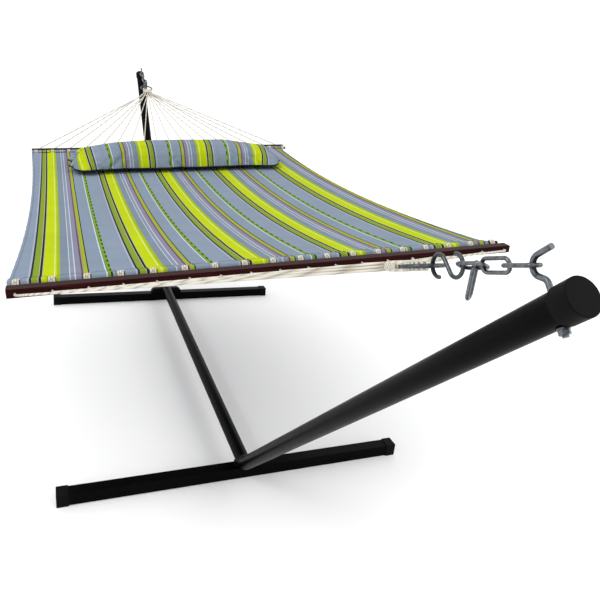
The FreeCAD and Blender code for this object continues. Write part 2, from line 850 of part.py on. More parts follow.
def make_knot(line):
    """The whipped bundle where the ropes turn round the ring."""
    length, width, height = size("knot_length"), size("knot_width"), size("knot_height")
    block = Part.makeBox(length, width, height, Vector(-length, -width / 2, -height / 2))
    lengthwise = [e for e in block.Edges if e.BoundBox.XLength > length / 2]
    block = block.makeFillet(height * 0.42, lengthwise)
    block.Placement = line.frame(line.knot_start)
    groove = Part.makeTorus(
        (size("ring_diameter") - size("ring_wire")) / 2, size("ring_wire") / 2 + size("wire_gap")
    )
    groove.Placement = line.frame(line.ring_centre)
    subpart(shaped(f"{line.end}_knot_block", block.cut(groove)), f"{line.end}_clew_knot")


# ---------------------------------------------------------------- ropes

def hole_offsets():
    count = int(size("rope_count"))
    return [(number - (count - 1) / 2) * size("hole_pitch") for number in range(count)]


def rope_route(line, number):
    """Three points: knot face, bend in front of the bar, and the hem dowel."""
    rows = int(size("rope_rows"))
    columns = int(size("rope_count")) // rows
    column, row = divmod(number, rows)
    across = (column - (columns - 1) / 2) * (size("rope_diameter") + size("rope_column_gap"))
    up = ((row - (rows - 1) / 2)) * (size("rope_diameter") + size("rope_row_gap"))
    bar = bar_centre(line.end)
    hole = bar + Y_AXIS * hole_offsets()[number]
    bend = hole + X_AXIS * (line.sign * (size("bar_depth") / 2 + size("rope_lead")))
    dowel_face = size("dowel_offset") - size("dowel_diameter") / 2 - size("wire_gap")
    stop = hole - X_AXIS * (line.sign * dowel_face)
    return [line.point(line.knot_stop, across, up), ROLL.multVec(bend), ROLL.multVec(stop)]


def bent_wire(start, corner, stop, radius):
    """Two straight runs joined by a tangent arc."""
    back = (start - corner).normalize()
    on = (stop - corner).normalize()
    turn = math.pi - back.getAngle(on)
    setback = radius * math.tan(turn / 2)
    first, last = corner + back * setback, corner + on * setback
    inward = (back + on).normalize()
    centre = corner + inward * (radius / math.cos(turn / 2))
    middle = centre - inward * radius
    edges = [
        Part.LineSegment(start, first).toShape(),
        Part.Arc(first, middle, last).toShape(),
        Part.LineSegment(last, stop).toShape(),
    ]
    return Part.Wire(edges)


def make_clew_ropes(line):
    ropes = []
    for number in range(int(size("rope_count"))):
        start, bend, stop = rope_route(line, number)
        wire = bent_wire(start, bend, stop, size("rope_bend"))
        ropes.append(rod(wire, size("rope_diameter"), f"rope {number}"))
    bundle = shaped(f"{line.end}_rope_set", Part.makeCompound(ropes))
    subpart(bundle, f"{line.end}_clew_ropes")
    print(f"{line.end} ropes: arcs {size('rope_bend'):.0f} mm, longest {max_length(ropes):.0f} mm")


def max_length(ropes):
    section = math.pi * size("rope_diameter") ** 2 / 4
    return max(rope.Volume for rope in ropes) / section


# ---------------------------------------------------------------- bars and dowels

def make_spreader_bar(end):
    body = doc.addObject("PartDesign::Body", end + "_bar_body")
    outline = new_sketch(body, end + "_bar_outline", "XZ_Plane")
    draw_rectangle(outline, "Dims.bar_depth", "Dims.bar_height")
    pad = body.newObject("PartDesign::Pad", end + "_bar_pad")
    pad.Profile = outline
    pad.Midplane = True
    bind(pad, Length="Dims.bar_length")
    doc.recompute()
    long_edges = [
        f"Edge{number}"
        for number, edge in enumerate(pad.Shape.Edges, start=1)
        if edge.BoundBox.YLength > size("bar_length") / 2
    ]
    rounding = body.newObject("PartDesign::Fillet", end + "_bar_rounding")
    rounding.Base = (pad, long_edges)
    bind(rounding, Radius="Dims.bar_rounding")
    hole_sketch = new_sketch(body, end + "_bar_hole", "YZ_Plane")
    first_hole = hole_sketch.addGeometry(Part.Circle(Vector(10, 0, 0), Z_AXIS, 1), False)
    hole_sketch.addConstraint(Sketcher.Constraint("PointOnObject", first_hole, 3, -1))
    place = hole_sketch.addConstraint(
        Sketcher.Constraint("DistanceX", -1, 1, first_hole, 3, 10.0)
    )
    radius = hole_sketch.addConstraint(Sketcher.Constraint("Radius", first_hole, 1.0))
    hole_sketch.setExpression(f"Constraints[{place}]", "Dims.hole_pitch * (Dims.rope_count - 1) / 2")
    hole_sketch.setExpression(f"Constraints[{radius}]", "Dims.rope_diameter / 2 + Dims.hole_clearance")
    pocket = body.newObject("PartDesign::Pocket", end + "_bar_pocket")
    pocket.Profile = hole_sketch
    pocket.Midplane = True
    bind(pocket, Length="2 * Dims.bar_depth")
    doc.recompute()
    pattern = body.newObject("PartDesign::LinearPattern", end + "_bar_holes")
    pattern.Originals = [pocket]
    pattern.Direction = (hole_sketch, ["H_Axis"])
    pattern.Reversed = True
    bind(pattern, Length="Dims.hole_pitch * (Dims.rope_count - 1)", Occurrences="Dims.rope_count")
    body.Tip = pattern
    body.Placement = ROLL * Placement(bar_centre(end), Rotation())
    subpart(body, end + "_spreader_bar")


def dowel_centre(end):
    return bar_centre(end) - X_AXIS * (ENDS[end] * size("dowel_offset"))


def make_hem_dowel(end):
    start = dowel_centre(end) - Y_AXIS * (size("dowel_length") / 2)
    dowel = cylinder(
        end + "_dowel_rod", "Dims.dowel_diameter / 2", "Dims.dowel_length", start, Y_AXIS
    )
    dowel.Placement = ROLL * dowel.Placement
    subpart(dowel, end + "_hem_dowel")


# ---------------------------------------------------------------- bed and pillow

BED_STATIONS = 9


def bed_point(along, across, lift):
    """A point of the bed. along runs from -1 at the rear dowel to 1 at the front dowel, across
    from -1 to 1, and lift is the height above the middle of the cloth."""
    rear, front = dowel_centre("rear"), dowel_centre("front")
    spot = rear + (front - rear) * ((along + 1) / 2)
    slack = 1 - along**2
    half_width = size("hem_width") / 2 - (size("hem_width") - size("bed_waist")) / 2 * slack
    belly = (size("bed_middle_sag") - size("bed_edge_sag")) * (1 - across**2)
    sag = (size("bed_edge_sag") + belly) * slack
    return spot + Vector(0, size("bed_shift") + across * half_width, lift - sag)


def bed_slab(above, below, reach=1.0):
    """The sagging bed as a solid, from below to above the middle of the cloth."""
    sections = []
    across = [-1, -0.5, 0, 0.5, 1]
    for station in range(BED_STATIONS):
        along = reach * (2 * station / (BED_STATIONS - 1) - 1)
        top, bottom = Part.BSplineCurve(), Part.BSplineCurve()
        top.interpolate([bed_point(along, place, above) for place in across])
        bottom.interpolate([bed_point(along, place, below) for place in across])
        sides = [
            Part.LineSegment(bed_point(along, way, above), bed_point(along, way, below))
            for way in (1, -1)
        ]
        edges = [top, sides[0], bottom, sides[1]]
        sections.append(Part.Wire(Part.__sortEdges__([edge.toShape() for edge in edges])))
    return Part.makeLoft(sections, True, False)


def hem_sleeve(end, radius):
    start = dowel_centre(end) + Y_AXIS * (size("bed_shift") - size("hem_width") / 2)
    return Part.makeCylinder(radius, size("hem_width"), start, Y_AXIS)


def make_bed():
    """Quilted cloth with a sleeve hem round each dowel, notched where the ropes reach it."""
    half = size("bed_thickness") / 2
    dowel_bore = size("dowel_diameter") / 2 + size("hem_clearance")
    hem_radius = dowel_bore + size("hem_wall")
    cloth = bed_slab(half, -half)
    cloth = cloth.fuse([hem_sleeve(end, hem_radius) for end in ENDS])
    tools = []
    for end, sign in ENDS.items():
        bore = Part.makeCylinder(
            dowel_bore,
            2 * size("hem_width"),
            dowel_centre(end) - Y_AXIS * size("hem_width"),
            Y_AXIS,
        )
        tools.append(bore)
        for offset in hole_offsets():
            depth = 2.2 * hem_radius
            centre = dowel_centre(end) + Y_AXIS * offset
            corner = centre - Vector(hem_radius * (1.2 if sign > 0 else 1.0), size("hem_notch") / 2, depth)
            notch = Part.makeBox(2.2 * hem_radius, size("hem_notch"), 2 * depth, corner)
            tools.append(notch)
    bed = shaped("bed_cloth", cloth.cut(tools).removeSplitter())
    bed.Placement = ROLL
    subpart(bed, "bed")


def pillow_centre():
    """Middle of the pillow, standing on the bed."""
    rear, front = dowel_centre("rear"), dowel_centre("front")
    along = 2 * (-size("pillow_place") - rear.x) / (front.x - rear.x) - 1
    middle = bed_point(along, 0, size("bed_thickness") / 2 + size("pillow_lift"))
    return middle - Y_AXIS * size("bed_shift")


def make_pillow():
    """A bolster: an ellipsoid-ended roll, flattened where it lies on the bed."""
    length, depth, height = size("pillow_length"), size("pillow_depth"), size("pillow_height")
    profile = Part.BSplineCurve()
    stations = [(-1, 0.02), (-0.9, 0.5), (-0.72, 0.86), (-0.4, 1), (0, 1.0)]
    outline = stations + [(-place, share) for place, share in reversed(stations[:-1])]
    profile.interpolate([Vector(0, place * length / 2, share) for place, share in outline])
    ends = [Vector(0, way * length / 2, 0) for way in (-1, 1)]
    rims = [Vector(0, way * length / 2, stations[0][1]) for way in (-1, 1)]
    edges = [
        profile.toShape(),
        Part.LineSegment(rims[1], ends[1]).toShape(),
        Part.LineSegment(ends[1], ends[0]).toShape(),
        Part.LineSegment(ends[0], rims[0]).toShape(),
    ]
    face = Part.Face(Part.Wire(edges))
    roll = face.revolve(Vector(), Y_AXIS, 360)
    matrix = FreeCAD.Matrix()
    matrix.scale(Vector(depth / 2, 1, height / 2))
    roll = roll.transformGeometry(matrix)
    roll.translate(pillow_centre())
    ground = bed_slab(size("bed_thickness") / 2 + size("pillow_gap"), -2 * height, 0.95)
    cushion = shaped("pillow_roll", roll.cut(ground))
    cushion.Placement = ROLL
    subpart(cushion, "pillow")


# ---------------------------------------------------------------- assembly

for end, sign in ENDS.items():
    make_foot(end, sign)
    make_foot_caps(end, sign)
    make_elbow(end, sign)
    make_arm(end, sign)
    make_arm_cap(end, sign)
    make_beam(end, sign)
    make_joint_bolts(end + "_joint", joint_bolt_places(sign))
    make_foot_bolts(end, sign)
    make_hook(end, sign)
make_front_saddle()
make_rear_saddle()
make_beam_coupler()
make_joint_bolts("coupler", [coupler_bolt_place(sign) for sign in ENDS.values()])

for end in ENDS:
    line = Suspension(end)
    make_chain(line)
    make_spare_link(line)
    make_s_hook(line)
    make_ring(line)
    make_knot(line)
    make_clew_ropes(line)
    make_spreader_bar(end)
    make_hem_dowel(end)
    print(f"{end} hang point {line.start}, spare link pivot {spare_link_pivot(line)}")
make_bed()
make_pillow()
doc.recompute()

# ---------------------------------------------------------------- checks and export

failed = [thing.Name for thing in doc.Objects if {"Invalid", "Error"} & set(thing.State)]
if failed:
    raise RuntimeError(f"failed objects: {failed}")
for label, thing in subparts.items():
    shape = thing.Shape
    if shape.isNull() or not shape.isValid() or not shape.Solids:
        raise RuntimeError(f"{label}: bad shape")

os.makedirs("parts", exist_ok=True)
for label, thing in subparts.items():
    thing.Shape.exportStep(f"parts/{label}.step")
    print(f"{label}: {len(thing.Shape.Solids)} solids, {thing.Shape.Volume / 1000:.1f} cm3")
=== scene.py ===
"""Quilted hammock on a steel-tube stand: cloth, ropes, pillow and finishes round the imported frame.

Row frame, in metres: X along the stand with the front end at +X, Y across it, Z up.
"""

import json
import math

import bmesh
import bpy
from mathutils import Matrix, Vector


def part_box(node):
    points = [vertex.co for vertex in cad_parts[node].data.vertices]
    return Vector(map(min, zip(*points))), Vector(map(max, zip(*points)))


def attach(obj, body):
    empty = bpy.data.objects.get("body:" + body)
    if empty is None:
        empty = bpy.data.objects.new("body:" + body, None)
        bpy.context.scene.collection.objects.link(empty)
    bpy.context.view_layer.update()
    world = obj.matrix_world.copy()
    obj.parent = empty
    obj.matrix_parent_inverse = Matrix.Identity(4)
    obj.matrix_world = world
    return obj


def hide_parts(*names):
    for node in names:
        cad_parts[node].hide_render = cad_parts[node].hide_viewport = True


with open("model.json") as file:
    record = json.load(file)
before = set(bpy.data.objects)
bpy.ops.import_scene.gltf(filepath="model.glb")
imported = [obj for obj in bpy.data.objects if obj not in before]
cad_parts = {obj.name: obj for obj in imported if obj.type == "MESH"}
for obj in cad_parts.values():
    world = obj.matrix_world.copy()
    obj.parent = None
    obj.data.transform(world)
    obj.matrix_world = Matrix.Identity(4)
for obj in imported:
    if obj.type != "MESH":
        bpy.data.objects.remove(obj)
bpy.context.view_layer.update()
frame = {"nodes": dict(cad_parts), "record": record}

ENDS = {"front": 1, "rear": -1}


def middle(node):
    low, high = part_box(node)
    return (Vector(low) + Vector(high)) / 2


# ---------------------------------------------------------------- sizes of the modelled part

ROLL_ANGLE = math.radians(3.5)
BAR = {end: middle(end + "_spreader_bar") for end in ENDS}
BAR_DEPTH = 0.030
ROLL_LEVEL = (BAR["front"].z + BAR["rear"].z) / 2
ROLL = (
    Matrix.Translation((0, 0, ROLL_LEVEL))
    @ Matrix.Rotation(ROLL_ANGLE, 4, "X")
    @ Matrix.Translation((0, 0, -ROLL_LEVEL))
)
ROPE_COUNT, ROPE_ROWS = 18, 3
ROPE_RADIUS = 0.0025
HOLE_PITCH = 0.0725
DOWEL_OFFSET = 0.042
DOWEL_RADIUS = 0.0065
HEM_RADIUS = 0.0099
HEM_NOTCH = 0.0174
HEM_RUN = 0.026
HEM_WIDTH, BED_WAIST, BED_SHIFT = 1.236, 1.204, -0.016
BED_THICKNESS = 0.009
BED_EDGE_SAG, BED_MIDDLE_SAG = 0.038, 0.062
RING_RADIUS, RING_WIRE = 0.032, 0.0035
KNOT_INSET, KNOT_LENGTH = 0.014, 0.064
CLEW_COLUMN_PITCH, CLEW_ROW_PITCH = 0.0083, 0.0055

# The striped cloth: metres per repeat, repeats at y = 0, and how far they gather towards -Y; then
# the middle of its length, the quilting's pitch and the hem's line of stitches.
STRIPE_REPEAT = 0.2591
STRIPE_START = 3.452
STRIPE_GATHER = 0.543
BED_MIDDLE_X = 0.102
QUILT_PITCH = 0.155
HEM_STITCH = 0.888

DOWEL = {end: BAR[end] - Vector((ENDS[end] * DOWEL_OFFSET, 0, 0)) for end in ENDS}


def hole_offsets():
    return [(number - (ROPE_COUNT - 1) / 2) * HOLE_PITCH for number in range(ROPE_COUNT)]


def bed_point(x, across, lift=0.0):
    """A point of the level bed at this x; across runs from -1 to 1, lift is above mid-cloth."""
    rear, front = DOWEL["rear"], DOWEL["front"]
    share = (x - rear.x) / (front.x - rear.x)
    along = 2 * share - 1
    slack = 1 - along**2
    half_width = (HEM_WIDTH - (HEM_WIDTH - BED_WAIST) * slack) / 2
    belly = (BED_MIDDLE_SAG - BED_EDGE_SAG) * (1 - across**2)
    level = rear.z + (front.z - rear.z) * share
    y = BED_SHIFT + across * half_width
    return Vector((x, y, level + lift - (BED_EDGE_SAG + belly) * slack))


# ---------------------------------------------------------------- camera, light and floor


def make_camera():
    """Low three-quarter view along the bed from beyond the front arm's tip."""
    yaw, pitch, roll = 0.402, 0.382, -0.107
    ahead = Vector(
        (-math.cos(yaw) * math.cos(pitch), math.sin(yaw) * math.cos(pitch), -math.sin(pitch))
    )
    level_right = ahead.cross(Vector((0, 0, 1))).normalized()
    level_down = ahead.cross(level_right)
    right = math.cos(roll) * level_right + math.sin(roll) * level_down
    down = math.cos(roll) * level_down - math.sin(roll) * level_right
    turn = Matrix((right, -down, -ahead)).transposed()
    lens = bpy.data.cameras.new("camera")
    lens.lens, lens.sensor_width = 36.29, 36.0
    camera = bpy.data.objects.new("camera", lens)
    place = (2.348, -0.523, 1.313)
    camera.matrix_world = Matrix.Translation(place) @ turn.to_4x4()
    bpy.context.collection.objects.link(camera)
    bpy.context.scene.camera = camera


def area_light(name, place, target, size, power):
    lamp = bpy.data.lights.new(name, "AREA")
    lamp.shape, lamp.size, lamp.energy = "DISK", size, power
    light = bpy.data.objects.new(name, lamp)
    light.location = place
    direction = Vector(target) - Vector(place)
    light.rotation_euler = direction.to_track_quat("-Z", "Y").to_euler()
    bpy.context.collection.objects.link(light)


def make_studio():
    world = bpy.data.worlds.new("studio")
    world.use_nodes = True
    background = world.node_tree.nodes["Background"]
    background.inputs["Color"].default_value = (1.0, 1.0, 1.0, 1.0)
    background.inputs["Strength"].default_value = 1.25
    bpy.context.scene.world = world
    bpy.context.scene.view_settings.view_transform = "Standard"
    area_light("key", (1.0, -3.2, 4.2), (0, 0, 0.7), 2.2, 75)
    area_light("fill", (3.6, 3.0, 3.0), (0, 0, 0.6), 2.6, 30)
    bpy.ops.mesh.primitive_plane_add(size=60)
    floor = bpy.context.object
    floor.name = "floor"
    floor.data.materials.append(floor_finish())


# ---------------------------------------------------------------- materials


def colour(red, green, blue):
    """Linear RGBA from 0-255 display values."""
    shares = [value / 255 for value in (red, green, blue)]
    linear = [s / 12.92 if s <= 0.04045 else ((s + 0.055) / 1.055) ** 2.4 for s in shares]
    return (*linear, 1.0)


class Finish:
    """A material on one Principled shader, with short ways to add and link nodes."""

    def __init__(self, name, **shader_values):
        self.material = bpy.data.materials.new(name)
        self.material.use_nodes = True
        self.tree = self.material.node_tree
        self.shader = self.tree.nodes["Principled BSDF"]
        self.coords = self.tree.nodes.new("ShaderNodeTexCoord")
        for socket, value in shader_values.items():
            self.shader.inputs[socket.replace("_", " ")].default_value = value

    def node(self, kind, settings=None, **inputs):
        node = self.tree.nodes.new("ShaderNode" + kind)
        for key, value in (settings or {}).items():
            setattr(node, key, value)
        for key, value in inputs.items():
            self.feed(node.inputs[key.replace("_", " ")], value)
        return node

    def feed(self, socket, value):
        if isinstance(value, bpy.types.NodeSocket):
            self.tree.links.new(value, socket)
        else:
            socket.default_value = value

    def math(self, operation, first, second=0.0, third=0.0):
        node = self.tree.nodes.new("ShaderNodeMath")
        node.operation = operation
        for socket, value in zip(node.inputs, (first, second, third)):
            self.feed(socket, value)
        return node.outputs[0]

    def stretched(self, scale, space="Object"):
        mapping = self.node("Mapping", Vector=self.coords.outputs[space], Scale=scale)
        return mapping.outputs[0]

    def noise(self, scale, detail=3.0, vector=None, roughness=0.5):
        vector = vector or self.coords.outputs["Object"]
        node = self.node(
            "TexNoise", Vector=vector, Scale=scale, Detail=detail, Roughness=roughness
        )
        return node.outputs["Fac"]

    def span(self, value, low, high):
        """A 0-1 value taken to the range low to high."""
        return self.node("MapRange", Value=value, To_Min=low, To_Max=high).outputs[0]

    def share(self, value, low, high):
        """How far a value is from low to high, kept between 0 and 1."""
        return self.node("MapRange", Value=value, From_Min=low, From_Max=high).outputs[0]

    def ramp(self, value, stops, interpolation="LINEAR"):
        node = self.node("ValToRGB", Fac=value)
        node.color_ramp.interpolation = interpolation
        elements = node.color_ramp.elements
        elements[0].position, elements[0].color = stops[0]
        elements.remove(elements[1])
        for position, shade in stops[1:]:
            elements.new(position).color = shade
        return node.outputs["Color"]

    def mix(self, share, first, second, blend="MIX"):
        node = self.tree.nodes.new("ShaderNodeMix")
        node.data_type, node.blend_type = "RGBA", blend
        self.feed(node.inputs[0], share)
        self.feed(node.inputs[6], first)
        self.feed(node.inputs[7], second)
        return node.outputs[2]

    def bump(self, height, distance, strength=1.0):
        node = self.node("Bump", Height=height, Distance=distance, Strength=strength)
        self.feed(self.shader.inputs["Normal"], node.outputs[0])

    def paint(self, value):
        self.feed(self.shader.inputs["Base Color"], value)

    def roughen(self, value):
        self.feed(self.shader.inputs["Roughness"], value)


def floor_finish():
    finish = Finish("pale_floor", Roughness=0.9, Specular_IOR_Level=0.1)
    shade = finish.noise(0.6, 2.0)
    stops = [(0.3, (0.955, 0.955, 0.955, 1)), (0.7, (0.97, 0.97, 0.97, 1))]
    finish.paint(finish.ramp(shade, stops))
    return finish.material


def coated_steel():
    """Satin black powder coat: a fine orange peel and slightly uneven gloss."""
    finish = Finish("black_powder_coat", Specular_IOR_Level=0.03)
    dust = finish.noise(9.0, 4.0)
    finish.paint(finish.ramp(dust, [(0.3, colour(3, 3, 4)), (0.75, colour(6, 6, 7))]))
    finish.roughen(finish.span(finish.noise(35.0, 3.0), 0.27, 0.40))
    finish.bump(finish.noise(1100.0, 2.0), 0.00006, 0.6)
    return finish.material


def moulded_plastic():
    finish = Finish("black_moulded_plastic", Specular_IOR_Level=0.04)
    wear = finish.noise(24.0, 4.0)
    finish.paint(finish.ramp(wear, [(0.3, colour(8, 8, 9)), (0.8, colour(15, 15, 17))]))
    finish.roughen(finish.span(wear, 0.42, 0.58))
    finish.bump(finish.noise(2200.0, 2.0), 0.00008, 0.7)
    return finish.material


def plated_steel(name, dark, light, roughest):
    """Zinc plating: mottled crystals, duller in patches."""
    finish = Finish(name, Metallic=1.0)
    mottle = finish.noise(160.0, 5.0, roughness=0.65)
    finish.paint(finish.ramp(mottle, [(0.3, dark), (0.7, light)]))
    finish.roughen(finish.span(finish.noise(60.0, 3.0), 0.22, roughest))
    finish.bump(finish.noise(900.0, 2.0), 0.00004, 0.5)
    return finish.material


def varnished_wood():
    """Dark mahogany with its grain along the bar, under a thin varnish."""
    finish = Finish("dark_varnished_wood", Specular_IOR_Level=0.03)
    along = finish.stretched((60.0, 2.2, 60.0))
    grain = finish.noise(3.0, 6.0, along, 0.62)
    stops = [(0.28, colour(22, 5, 6)), (0.52, colour(38, 9, 9)), (0.78, colour(62, 18, 15))]
    finish.paint(finish.ramp(grain, stops))
    finish.roughen(finish.span(grain, 0.30, 0.46))
    finish.bump(finish.noise(9.0, 5.0, along), 0.00025, 0.6)
    return finish.material


def cotton_rope(name, turns):
    """Soft laid cotton: strands that wind round it, with a little fluff and shade between them."""
    finish = Finish(name, Roughness=0.92, Specular_IOR_Level=0.05)
    parts = finish.node("SeparateXYZ", Vector=finish.coords.outputs["UV"])
    phase = finish.math("MULTIPLY_ADD", parts.outputs[0], turns, parts.outputs[1])
    strand = finish.math("ABSOLUTE", finish.math("SINE", finish.math("MULTIPLY", phase, math.pi)))
    fluff = finish.noise(900.0, 3.0)
    shade = finish.math("MULTIPLY_ADD", strand, 0.75, finish.math("MULTIPLY", fluff, 0.25))
    stops = [
        (0.0, colour(122, 116, 102)),
        (0.35, colour(178, 172, 158)),
        (1.0, colour(208, 205, 195)),
    ]
    finish.paint(finish.ramp(shade, stops))
    finish.bump(shade, 0.0009, 0.8)
    return finish.material


# Each stripe's share of a repeat and its display colour, in order towards +Y.
STRIPES = [
    (0.058, (138, 163, 52)),
    (0.006, (190, 190, 150)),
    (0.022, (38, 40, 46)),
    (0.008, (186, 186, 160)),
    (0.108, (196, 216, 16)),
    (0.010, (232, 236, 140)),
    (0.022, (190, 210, 18)),
    (0.026, (158, 186, 34)),
    (0.085, (132, 146, 163)),
    (0.010, (214, 220, 230)),
    (0.038, (140, 152, 172)),
    (0.010, (206, 212, 224)),
    (0.055, (142, 142, 164)),
    (0.016, (96, 78, 98)),
    (0.012, (176, 150, 130)),
    (0.034, (166, 184, 44)),
    (0.014, (34, 38, 44)),
    (0.150, (140, 156, 174)),
    (0.014, (222, 228, 230)),
    (0.010, (120, 140, 120)),
    (0.040, (122, 162, 38)),
    (0.212, (144, 158, 177)),
    (0.020, (178, 182, 204)),
    (0.020, (40, 46, 66)),
]
# The dark dashes on the green stripe: place and half width in a repeat, radians per metre.
DASH_PLACE, DASH_HALF_WIDTH, DASH_RATE = 0.738, 0.009, 126.0
CLOTH_SHADE = 0.68
# Added to every count of repeats, so that a share of one is always taken above zero.
WHOLE_REPEATS = 20.0


def striped_cloth(name, quilt_across, quilt_along, seam_shade, hem=None):
    """Woven stripes over a quilted filling. UV: stripe repeats, and metres along the stripes."""
    finish = Finish(name, Roughness=0.9, Specular_IOR_Level=0.04)
    parts = finish.node("SeparateXYZ", Vector=finish.coords.outputs["UV"])
    repeats, along = parts.outputs[0], parts.outputs[1]
    place = finish.math("FRACT", finish.math("ADD", repeats, WHOLE_REPEATS))
    stops, position = [], 0.0
    for width, shade in STRIPES:
        stops.append((position, tuple(CLOTH_SHADE * value for value in colour(*shade))))
        position += width
    cloth = finish.ramp(place, stops, "CONSTANT")
    in_line = finish.math("COMPARE", place, DASH_PLACE, DASH_HALF_WIDTH)
    swing = finish.math("SINE", finish.math("MULTIPLY", along, DASH_RATE))
    dash = finish.math("GREATER_THAN", swing, 0.1)
    cloth = finish.mix(finish.math("MULTIPLY", in_line, dash), cloth, colour(34, 52, 28))
    fade = finish.span(finish.noise(5.0, 4.0), 0.90, 1.08)
    thread = finish.span(finish.noise(420.0, 2.0, finish.stretched((0.12, 1.0, 1.0))), 0.90, 1.06)
    shade = finish.math("MULTIPLY", fade, thread)
    grey = finish.node("CombineColor", Red=shade, Green=shade, Blue=shade).outputs[0]
    cloth = finish.mix(1.0, cloth, grey, "MULTIPLY")

    # Painted shade: the colour is darkened along the quilting's stitched grooves and the hem's
    # stitch line, by up to seam_shade; the same grooves also dent the bump.
    across = finish.math("MULTIPLY", repeats, STRIPE_REPEAT)
    seams = [stitch_line(finish, across, quilt_across), stitch_line(finish, along, quilt_along)]
    groove = finish.math("MINIMUM", seams[0], seams[1])
    if hem:
        beyond = finish.math("SUBTRACT", finish.math("ABSOLUTE", along), hem)
        hem_line = finish.math("ABSOLUTE", beyond)
        groove = finish.math("MINIMUM", groove, finish.share(hem_line, 0.0, 0.004))
    cloth = finish.mix(finish.span(groove, seam_shade, 0.0), cloth, colour(70, 78, 88), "MULTIPLY")
    finish.paint(cloth)
    weave = finish.noise(1500.0, 2.0, finish.stretched((0.35, 1.0, 1.0)))
    finish.bump(finish.math("MULTIPLY_ADD", weave, 0.12, groove), 0.0016, 0.7)
    return finish.material


def stitch_line(finish, distance, pitch):
    """0 on stitch lines a pitch apart, rising softly to 1 between them."""
    swing = finish.math("SINE", finish.math("MULTIPLY", distance, math.pi / pitch))
    return finish.math("POWER", finish.math("ABSOLUTE", swing), 0.30)


def plain_cloth(name, dark, light):
    finish = Finish(name, Roughness=0.9, Specular_IOR_Level=0.05)
    thread = finish.noise(700.0, 3.0)
    broad = finish.noise(6.0, 4.0)
    shade = finish.math("MULTIPLY_ADD", thread, 0.6, finish.math("MULTIPLY", broad, 0.4))
    finish.paint(finish.ramp(shade, [(0.3, dark), (0.7, light)]))
    finish.bump(thread, 0.0005, 0.6)
    return finish.material


# ---------------------------------------------------------------- mesh helpers


def add_object(name, data):
    thing = bpy.data.objects.new(name, data)
    bpy.context.collection.objects.link(thing)
    return thing


def mesh_object(name, points, faces, materials, face_material=None, uvs=None):
    mesh = bpy.data.meshes.new(name)
    mesh.from_pydata([tuple(point) for point in points], [], faces)
    for material in materials:
        mesh.materials.append(material)
    if face_material:
        mesh.polygons.foreach_set("material_index", face_material)
    if uvs:
        layer = mesh.uv_layers.new(name="cloth")
        for loop in mesh.loops:
            layer.data[loop.index].uv = uvs[loop.vertex_index]
    mesh.polygons.foreach_set("use_smooth", [True] * len(mesh.polygons))
    mesh.update()
    return add_object(name, mesh)


def tube(points, radius, sides, closed=False):
    """Points, faces and UVs of a tube along a path."""
    count = len(points)
    rings, uvs, faces = [], [], []
    normal = None
    for index, point in enumerate(points):
        after = points[(index + 1) % count] if closed or index < count - 1 else point
        before = points[index - 1] if closed or index > 0 else point
        tangent = (after - before).normalized()
        if normal is None:
            normal = tangent.orthogonal().normalized()
        normal = (normal - tangent * normal.dot(tangent)).normalized()
        binormal = tangent.cross(normal)
        for side in range(sides):
            angle = 2 * math.pi * side / sides
            rings.append(point + (normal * math.cos(angle) + binormal * math.sin(angle)) * radius)
            uvs.append((index / count, side / sides))
    for index in range(count if closed else count - 1):
        following = (index + 1) % count
        for side in range(sides):
            beside = (side + 1) % sides
            near, far = index * sides, following * sides
            faces.append([near + side, far + side, far + beside, near + beside])
    if not closed:
        faces.append(list(range(sides))[::-1])
        faces.append([(count - 1) * sides + side for side in range(sides)])
    return rings, faces, uvs


def joined(parts):
    points, faces, uvs = [], [], []
    for part_points, part_faces, part_uvs in parts:
        shift = len(points)
        points += part_points
        uvs += part_uvs
        faces += [[index + shift for index in face] for face in part_faces]
    return points, faces, uvs


def rolled(points):
    return [ROLL @ point for point in points]


def ride(piece, body="hammock"):
    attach(piece, body)


# ---------------------------------------------------------------- bed


def stripe_uv(point):
    """Stripe repeats, a little closer together towards -Y, and metres from the bed's middle."""
    y = point.y
    repeats = STRIPE_START + y / STRIPE_REPEAT - STRIPE_GATHER * y**2
    return repeats, point.x - BED_MIDDLE_X


def make_bed(stripes, reverse):
    """The quilted cloth between the hems: two faces and a thin edge all round."""
    columns, rows = 240, 150
    puff_height, puffs_across = 0.0006, 4.73
    edge_share, inset = 0.012, 0.0011
    start, stop = DOWEL["rear"].x + HEM_RUN * 0.5, DOWEL["front"].x - HEM_RUN * 0.5
    tops, bottoms = [], []
    for column in range(columns + 1):
        x = start + (stop - start) * column / columns
        for row in range(rows + 1):
            across = 2 * row / rows - 1
            along_wave = math.sin(math.pi * x / QUILT_PITCH)
            across_wave = math.sin(math.pi * across * puffs_across)
            puff = puff_height * abs(along_wave * across_wave) ** 0.5
            edge = min(1.0, (1 - abs(across)) / edge_share)
            half = BED_THICKNESS / 2 * (0.55 + 0.45 * edge)
            tops.append(bed_point(x, across, half - inset + puff * edge))
            bottoms.append(bed_point(x, across, -half + inset - puff * edge))
    points = tops + bottoms
    under = len(tops)
    width = rows + 1
    faces, materials = [], []
    for column in range(columns):
        for row in range(rows):
            corner = column * width + row
            top = [corner, corner + width, corner + width + 1, corner + 1]
            faces += [top, [index + under for index in reversed(top)]]
            materials += [0, 1]
    rim = [column * width for column in range(columns + 1)]
    rim += [columns * width + row for row in range(1, rows + 1)]
    rim += [column * width + rows for column in range(columns - 1, -1, -1)]
    rim += list(range(rows - 1, 0, -1))
    for first, second in zip(rim, rim[1:] + rim[:1]):
        faces.append([first, first + under, second + under, second])
        materials.append(0)
    uvs = [stripe_uv(point) for point in points]
    return mesh_object("bed_quilt", rolled(points), faces, [stripes, reverse], materials, uvs)


